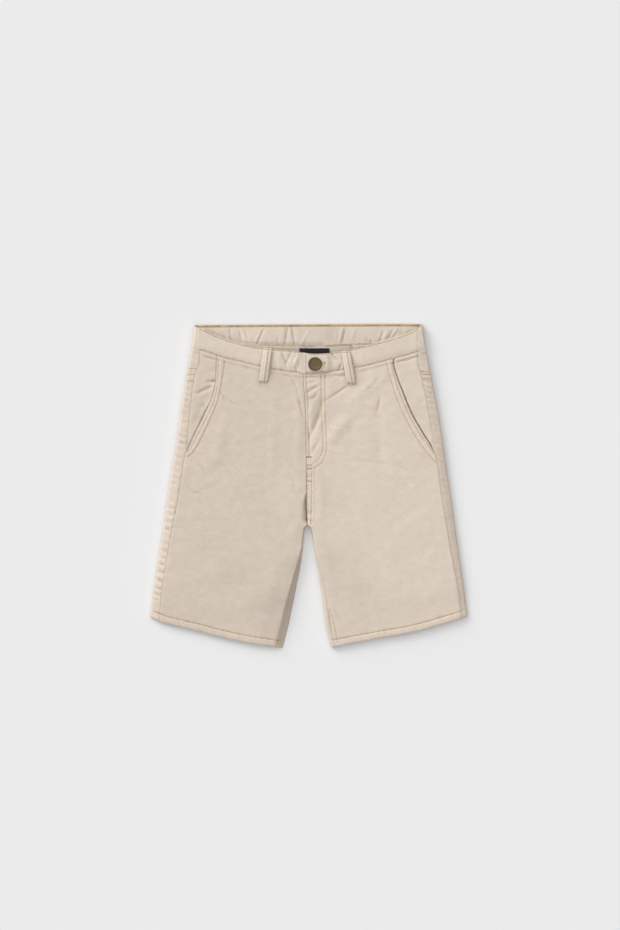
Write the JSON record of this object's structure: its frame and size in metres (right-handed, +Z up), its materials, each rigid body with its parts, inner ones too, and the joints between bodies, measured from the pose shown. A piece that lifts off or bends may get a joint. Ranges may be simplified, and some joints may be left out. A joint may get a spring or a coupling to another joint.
{
  "type": "bermuda shorts",
  "caption": "Child's knee-length twill shorts laid flat, front up, with slant pockets, belt loops, a buttoned waistband, a fly and a gathered back waist.",
  "frame": {"origin": "middle of the shorts' outline, on the ground they lie on", "axes": "+Z up out of the front, +Y towards the waist, +X towards the wearer's left"},
  "size_m": [0.4123, 0.4217, 0.016],
  "materials": {
    "twill": "washed pale beige cotton twill, matte",
    "band_twill": "washed pale beige cotton twill, matte, two layers",
    "stitch_thread": "ochre topstitching thread",
    "zip_tape": "woven tape",
    "aged_brass": "dark aged brass, satin",
    "label_cloth": "dark navy woven tape"
  },
  "bodies": {
    "root": {"front_panel_left": "twill", "front_panel_right": "twill", "back_panel_left": "twill", "back_panel_right": "twill", "pocket_facing_left": "twill", "pocket_facing_right": "twill", "waistband_front_left": "band_twill", "waistband_front_right": "band_twill", "waistband_back": "band_twill", "belt_loop_left": "band_twill", "belt_loop_right": "band_twill", "fly_zip": "zip_tape", "button": "aged_brass", "waist_label": "label_cloth"}
  },
  "joints": []
}
